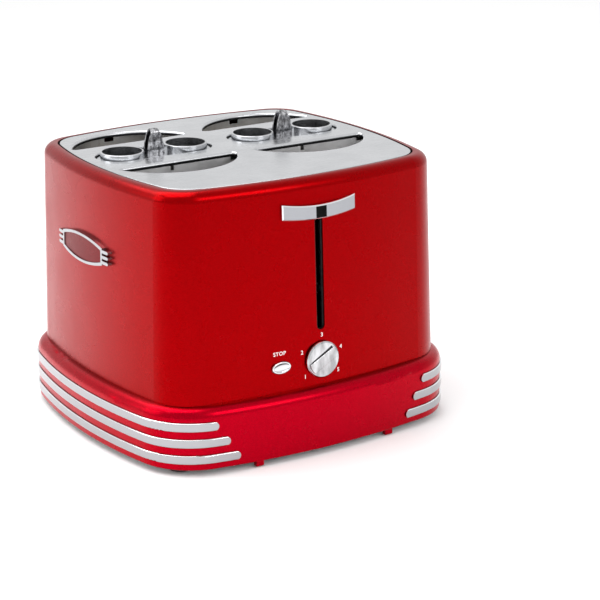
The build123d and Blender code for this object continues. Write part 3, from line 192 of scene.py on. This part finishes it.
def polished(name, color, roughness, marks=0.05, wave_mm=12, wave_height_mm=0.01,
             wave_strength=0.4, wave_detail=1):
    """Bright plated metal with faint wipe marks and gentle waves."""
    wipe_mm, wiped_along_y = 9, (1, 0.4, 1)
    mat = shader(name, color, metallic=1.0, roughness=roughness)
    wipes = pattern(mat, wipe_mm, stretch=wiped_along_y)
    spread(mat, wipes, roughness, roughness + marks, "Roughness")
    relief(mat, pattern(mat, wave_mm, detail=wave_detail), wave_height_mm, wave_strength)
    return mat


def brushed(name, light, dark, roughness, stretch, grain_mm=0.25, depth_mm=0.004):
    """Rolled or brushed sheet: fine lines along one axis, and slow changes of tone."""
    cloud_mm, smoother, rougher, strength = 25, 0.05, 0.09, 0.6
    mat = shader(name, light, metallic=1.0, roughness=roughness)
    tint(mat, pattern(mat, cloud_mm), dark, light)
    lines = pattern(mat, grain_mm * 2, stretch=stretch)
    spread(mat, lines, roughness - smoother, roughness + rougher, "Roughness")
    relief(mat, pattern(mat, grain_mm, stretch=stretch), depth_mm, strength)
    return mat


def spun(name, dark, light, roughness=0.18, marks=0.1, band_mm=5, upright=(1, 1, 0.35)):
    """Turned metal with uneven bright and grey bands."""
    mat = polished(name, light, roughness, marks)
    tint(mat, pattern(mat, band_mm, stretch=upright, detail=2), dark, light)
    return mat


def moulded(name, color, roughness, grain_mm=0.35, depth_mm=0.01, specular=0.5):
    """Moulded plastic or rubber with a fine grain."""
    cloud_mm, patch_mm, smoother, rougher, strength = 7, 3, 0.06, 0.08, 0.7
    gain, lift = 1.25, 0.004
    mat = shader(name, color, metallic=0.0, roughness=roughness,
                 Specular_IOR_Level=specular)
    lighter = [min(1, channel * gain + lift) for channel in color]
    tint(mat, pattern(mat, cloud_mm), color, lighter)
    spread(mat, pattern(mat, patch_mm), roughness - smoother, roughness + rougher, "Roughness")
    relief(mat, pattern(mat, grain_mm), depth_mm, strength)
    return mat


# The finish of each material slot, then those of single pieces
STEEL = (0.70, 0.705, 0.72)
SHEET, CHROME = (0.62, 0.63, 0.65), (0.40, 0.403, 0.42)
recipes = {
    "shell_paint": (candy_paint, dict(color=(0.34, 0.0003, 0.0016), deep=(0.26, 0.0002, 0.0010))),
    "skirt_paint": (candy_paint, dict(color=(0.46, 0.0004, 0.011), deep=(0.36, 0.0003, 0.008))),
    "plate_steel": (brushed, dict(light=SHEET, dark=(0.56, 0.57, 0.59),
                                  roughness=0.22, stretch=ALONG_X)),
    "plain_steel": (brushed, dict(light=(0.58, 0.59, 0.60), dark=(0.46, 0.47, 0.48),
                                  roughness=0.38, stretch=ALONG_X)),
    "reflector_steel": (brushed, dict(light=(0.80, 0.80, 0.81), dark=(0.70, 0.69, 0.68),
                                      roughness=0.32, stretch=ALONG_Z)),
    "cage_steel": (brushed, dict(light=STEEL, dark=(0.60, 0.60, 0.61),
                                 roughness=0.3, stretch=ALONG_Z)),
    "rod_steel": (brushed, dict(light=STEEL, dark=(0.62, 0.62, 0.63),
                                roughness=0.16, stretch=ALONG_Z)),
    "spring_steel": (brushed, dict(light=(0.46, 0.46, 0.48), dark=(0.36, 0.36, 0.38),
                                   roughness=0.3, stretch=EVEN)),
    "screw_steel": (brushed, dict(light=(0.42, 0.42, 0.43), dark=(0.33, 0.33, 0.34),
                                  roughness=0.35, stretch=EVEN)),
    "wire_chrome": (polished, dict(color=(0.93, 0.93, 0.94), roughness=0.42, marks=0.1)),
    "chrome": (polished, dict(color=CHROME, roughness=0.12)),
    "knob_chrome": (spun, dict(dark=(0.36, 0.36, 0.37), light=(0.66, 0.66, 0.68))),
    "iron": (brushed, dict(light=(0.26, 0.26, 0.27), dark=(0.18, 0.18, 0.19),
                           roughness=0.45, stretch=ALONG_Z, grain_mm=0.5, depth_mm=0.02)),
    "coil_copper": (brushed, dict(light=(0.70, 0.30, 0.13), dark=(0.50, 0.20, 0.08),
                                  roughness=0.3, stretch=(0.05, 0.05, 1),
                                  grain_mm=0.4, depth_mm=0.05)),
    "ribbon": (brushed, dict(light=(0.40, 0.37, 0.34), dark=(0.30, 0.27, 0.25),
                             roughness=0.42, stretch=ALONG_X)),
    "mica": (moulded, dict(color=(0.50, 0.44, 0.34), roughness=0.5,
                           grain_mm=1.2, depth_mm=0.02)),
    "board": (moulded, dict(color=(0.03, 0.16, 0.07), roughness=0.4, grain_mm=0.6)),
    "seal_rubber": (moulded, dict(color=(0.003, 0.003, 0.003), roughness=0.8, specular=0.0)),
    "foot_rubber": (moulded, dict(color=(0.02, 0.02, 0.021), roughness=0.65,
                                  grain_mm=0.5, depth_mm=0.03)),
    "black_plastic": (moulded, dict(color=(0.008, 0.008, 0.009), roughness=0.3, specular=0.15)),
    "terminal_plastic": (moulded, dict(color=(0.66, 0.64, 0.58), roughness=0.45)),
    "badge_enamel": (candy_paint, dict(color=(0.17, 0.0004, 0.003), deep=(0.12, 0.0003, 0.002))),
}
finishes = {name: make(name, **values) for name, (make, values) in recipes.items()}

# Below some depth under the plate's face, the metal is painted darker: painted shade deeper in
# the slots and under the plate
plate_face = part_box("top_plate")[1].z
for name, depth_mm, blend_mm, shade_tone in (("plate_steel", 1, 0.8, (0.05, 0.05, 0.055)),
                                       ("cage_steel", 3, 12, (0.06, 0.055, 0.05)),
                                       ("reflector_steel", 10, 40, (0.10, 0.095, 0.09))):
    painted_shade_below(finishes[name], plate_face - depth_mm * MM, shade_tone, blend_mm)

cap_steel = brushed("cap_steel", light=SHEET, dark=(0.52, 0.53, 0.55),
                    roughness=0.2, stretch=ALONG_X)
# Painted highlight: the lever's bevels lighter than its front face
lever_chrome = painted_light_by_facing(polished("lever_chrome", STEEL, roughness=0.14), direction=FRONT,
                     away=(0.80, 0.80, 0.82), towards=(0.38, 0.385, 0.41),
                     start=0.93, stop=0.985)
strap_chrome = polished("strap_chrome", (0.45, 0.45, 0.46), roughness=0.1, marks=0.12,
                        wave_mm=2.5, wave_height_mm=0.05, wave_strength=0.6, wave_detail=4)
tint(strap_chrome, pattern(strap_chrome, 2.2, stretch=(1, 1, 0.6), detail=3),
     (0.05, 0.05, 0.055), (0.62, 0.62, 0.64))
head_black = moulded("head_black", (0.002, 0.002, 0.002), roughness=0.22, specular=0.05)
# Painted highlight on the strips' upper faces and painted dark reflection on their lower faces
strip_chrome = painted_light_by_facing(polished("strip_chrome", STEEL, roughness=0.1), direction=UP,
                     away=CHROME, towards=(0.85, 0.85, 0.87), start=0.1, stop=0.5)
# Painted dark reflection at the upper left of the stop button's dish
button_chrome = painted_light_by_facing(polished("button_chrome", STEEL, roughness=0.08),
                      direction=(0.35, -0.1, -0.9), away=(0.70, 0.70, 0.72),
                      towards=(0.02, 0.02, 0.025), start=0.2, stop=0.34)
own_finish = {
    "basket_cap_left": cap_steel, "basket_cap_right": cap_steel,
    "basket_handle_left": strap_chrome, "basket_handle_right": strap_chrome,
    "lever_handle": lever_chrome, "stop_button": button_chrome, "lever_arm": head_black,
}
own_finish |= {name: strip_chrome for name in nodes if name.startswith("chrome_strip")}
for name, node in nodes.items():
    node.data.materials.clear()
    node.data.materials.append(own_finish.get(name, finishes[slots[name]]))

ink = dict(roughness=0.5, grain_mm=0.2, depth_mm=0.002)
print_white = moulded("print_white", (0.86, 0.84, 0.83), **ink)
# Dark finish of the painted dark reflection in the knob's groove
painted_dark_finish = moulded("painted_dark_finish", (0.015, 0.015, 0.016), **ink)


def in_scene(name, data):
    """A new object of the scene with its data."""
    piece = bpy.data.objects.new(name, data)
    bpy.context.scene.collection.objects.link(piece)
    return piece


# Words and numbers printed on the front wall
PRINT_LIFT = 0.06 * MM
PRINT_THICKNESS = 0.04 * MM
PRINT_SWELL_SHARE = 0.012
RAY_START = cad_box[0][1] - 100 * MM
shell_tree = BVHTree.FromObject(nodes["body_shell"], bpy.context.evaluated_depsgraph_get())


def on_front(x, z):
    """The point of the shell's front wall at one x and z, with its outward normal."""
    hit, normal, _, _ = shell_tree.ray_cast(Vector((x, RAY_START, z)), -FRONT)
    if normal.dot(FRONT) < 0:
        normal = -normal
    return hit, normal


def facing(point, normal):
    """A matrix at point, its Z along normal and its Y as near upright as it can be."""
    across = UP.cross(normal).normalized()
    upward = normal.cross(across)
    return Matrix.Translation(point) @ Matrix((across, upward, normal)).transposed().to_4x4()


def lettering(name, words, x, z, height, spacing=1.0):
    """White printed words on the front wall, centred on one place."""
    curve = bpy.data.curves.new(name, "FONT")
    curve.body = words
    curve.size = height
    curve.align_x = "CENTER"
    curve.align_y = "CENTER"
    curve.space_character = spacing
    curve.extrude = PRINT_THICKNESS
    curve.offset = height * PRINT_SWELL_SHARE
    text = in_scene(name + "_curve", curve)
    graph = bpy.context.evaluated_depsgraph_get()
    mesh = bpy.data.meshes.new_from_object(text.evaluated_get(graph))
    bpy.data.objects.remove(text)
    piece = in_scene(name, mesh)
    hit, normal = on_front(x, z)
    mesh.transform(facing(hit + normal * PRINT_LIFT, normal))
    mesh.materials.clear()
    mesh.materials.append(print_white)
    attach(piece, "housing")


knob_low, knob_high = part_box("dial_knob")
dial_x = (knob_low.x + knob_high.x) / 2
dial_z = (knob_low.z + knob_high.z) / 2
digit_ring = 18.8 * MM
digit_height = 4.4 * MM
digit_degrees = {"1": 218.5, "2": 155.5, "3": 88, "4": 20, "5": -37.5}
for digit, degrees in digit_degrees.items():
    angle = radians(degrees)
    lettering(f"dial_digit_{digit}", digit, dial_x + digit_ring * cos(angle),
              dial_z + digit_ring * sin(angle), digit_height)

button_low, button_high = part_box("stop_button")
stop_word_x = -36.3 * MM
stop_word_rise = 10.7 * MM
stop_word_z = (button_low.z + button_high.z) / 2 + stop_word_rise
lettering("stop_word", "STOP", stop_word_x, stop_word_z, height=4.1 * MM, spacing=1.12)

# A dark strip laid in the pointer groove of the knob: painted dark reflection of the grip bar's
# upper-left flank
grip_rise = 1.6 * MM
groove_depth = 1.0 * MM
groove_floor = knob_low.y + grip_rise + groove_depth
groove_turn = radians(28)
groove_side = 4.2 * MM
dark_strip_bed = groove_floor - 0.02 * MM
dark_strip_face = groove_floor - groove_depth + 0.2 * MM
dark_strip_side = groove_side + 0.06 * MM
dark_strip_tail, dark_strip_tip = -9.7 * MM, 11.0 * MM
tail_side, tip_side = groove_side + 0.45 * MM, groove_side + 1.4 * MM


def painted_dark_strip(name, outline):
    """A flat dark piece in the knob's face, a painted dark reflection, its outline given along
    and across the groove.
    """
    shape = bmesh.new()
    base = []
    for along, across in outline:
        x = dial_x + along * cos(groove_turn) - across * sin(groove_turn)
        z = dial_z + along * sin(groove_turn) + across * cos(groove_turn)
        base.append(shape.verts.new((x, dark_strip_bed, z)))
    raised = bmesh.ops.extrude_face_region(shape, geom=[shape.faces.new(base)])
    moved = [item for item in raised["geom"] if isinstance(item, bmesh.types.BMVert)]
    bmesh.ops.translate(shape, verts=moved, vec=(0, dark_strip_face - dark_strip_bed, 0))
    bmesh.ops.recalc_face_normals(shape, faces=shape.faces)
    mesh = bpy.data.meshes.new(name)
    shape.to_mesh(mesh)
    shape.free()
    mesh.materials.append(painted_dark_finish)
    piece = in_scene(name, mesh)
    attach(piece, "dial")


painted_dark_strip("pointer_painted_dark", [(dark_strip_tail, dark_strip_side), (dark_strip_tip, dark_strip_side),
                        (dark_strip_tip, tip_side), (dark_strip_tail, tail_side)])

# Floor
floor_half = 3.0
floor_mesh = bpy.data.meshes.new("floor")
floor_mesh.from_pydata([(-floor_half, -floor_half, 0), (floor_half, -floor_half, 0),
                        (floor_half, floor_half, 0), (-floor_half, floor_half, 0)],
                       [], [(0, 1, 2, 3)])
floor = in_scene("floor", floor_mesh)
floor_finish = shader("floor_finish", (0.97, 0.97, 0.97), metallic=0.0, roughness=0.9)
tint(floor_finish, pattern(floor_finish, 400), (0.96, 0.96, 0.96), (0.98, 0.98, 0.98))
floor_mesh.materials.append(floor_finish)

# Light
world = bpy.data.worlds.new("studio")
bpy.context.scene.world = world
world.use_nodes = True
sky = world.node_tree.nodes["Background"]
sky.inputs["Color"].default_value = (1, 1, 1, 1)
sky.inputs["Strength"].default_value = 0.9


def softbox(name, place, target, width, height, watts):
    """A rectangular studio light aimed at one point."""
    light = bpy.data.lights.new(name, "AREA")
    light.shape = "RECTANGLE"
    light.size = width
    light.size_y = height
    light.energy = watts
    lamp = in_scene(name, light)
    lamp.location = place
    lamp.rotation_euler = (Vector(target) - Vector(place)).to_track_quat("-Z", "Y").to_euler()


middle = (0, 0, 0.1)
softbox("overhead", (-0.3, 0.2, 1.5), middle, width=1.4, height=1.2, watts=16)
softbox("left_fill", (-1.6, 0.6, 0.9), middle, width=1.0, height=1.2, watts=7)
softbox("front_fill", (0.5, -1.8, 1.2), middle, width=1.0, height=0.8, watts=8)
softbox("floor_pool", (-0.55, 0.6, 0.9), (-0.55, 0.6, 0), width=0.5, height=0.5, watts=2)

# Camera, placed by a least squares fit to the edges of the toaster in the photo
eye = Vector((-771.95, -1312.57, 565.25)) * MM
yaw, pitch, roll = radians(32.438), radians(17.503), radians(-0.495)
view = Vector((sin(yaw) * cos(pitch), cos(yaw) * cos(pitch), -sin(pitch)))
level = Vector((cos(yaw), -sin(yaw), 0))
upright = level.cross(view)
right = level * cos(roll) + upright * sin(roll)
top = upright * cos(roll) - level * sin(roll)
camera = bpy.data.cameras.new("camera")
camera.sensor_width = 36
camera.lens = 119.19
camera.clip_end = 20
camera_object = in_scene("camera", camera)
axes = Matrix((right, top, -view)).transposed().to_4x4()
camera_object.matrix_world = Matrix.Translation(eye) @ axes
bpy.context.scene.camera = camera_object
bpy.context.scene.view_settings.view_transform = "Standard"
